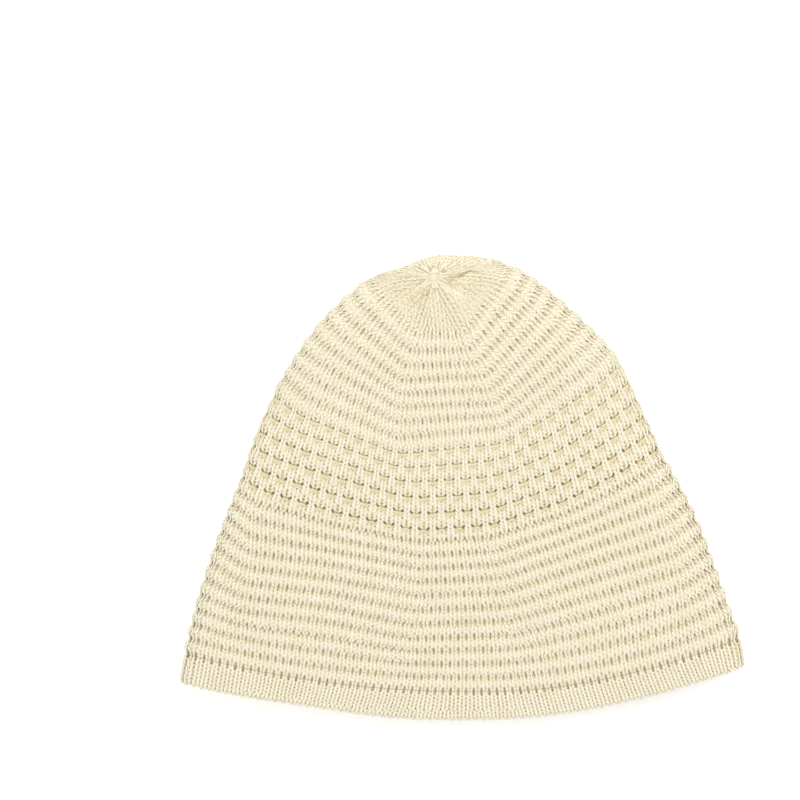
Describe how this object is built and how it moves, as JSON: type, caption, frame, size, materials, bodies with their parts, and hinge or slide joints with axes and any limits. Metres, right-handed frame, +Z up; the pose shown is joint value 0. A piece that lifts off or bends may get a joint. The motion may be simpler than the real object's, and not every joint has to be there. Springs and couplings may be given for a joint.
{
  "type": "knit hat",
  "caption": "Slouchy ridged knit hat lying flat, with a gathered crown point, an openwork band and a fine rolled hem.",
  "frame": {"origin": "middle of the hat's footprint, on the surface that it lies on", "axes": "+Z up out of the front face, +Y from the hem to the crown, +X to the wearer's left as the front face is looked at from above"},
  "size_m": [0.2978, 0.2456, 0.027],
  "materials": {
    "ridged_knit": "soft matte wool knit, warm cream",
    "fine_knit": "fine smooth wool knit, warm cream"
  },
  "bodies": {
    "root": {"knit_body": "ridged_knit", "hem_band": "fine_knit"}
  },
  "joints": []
}
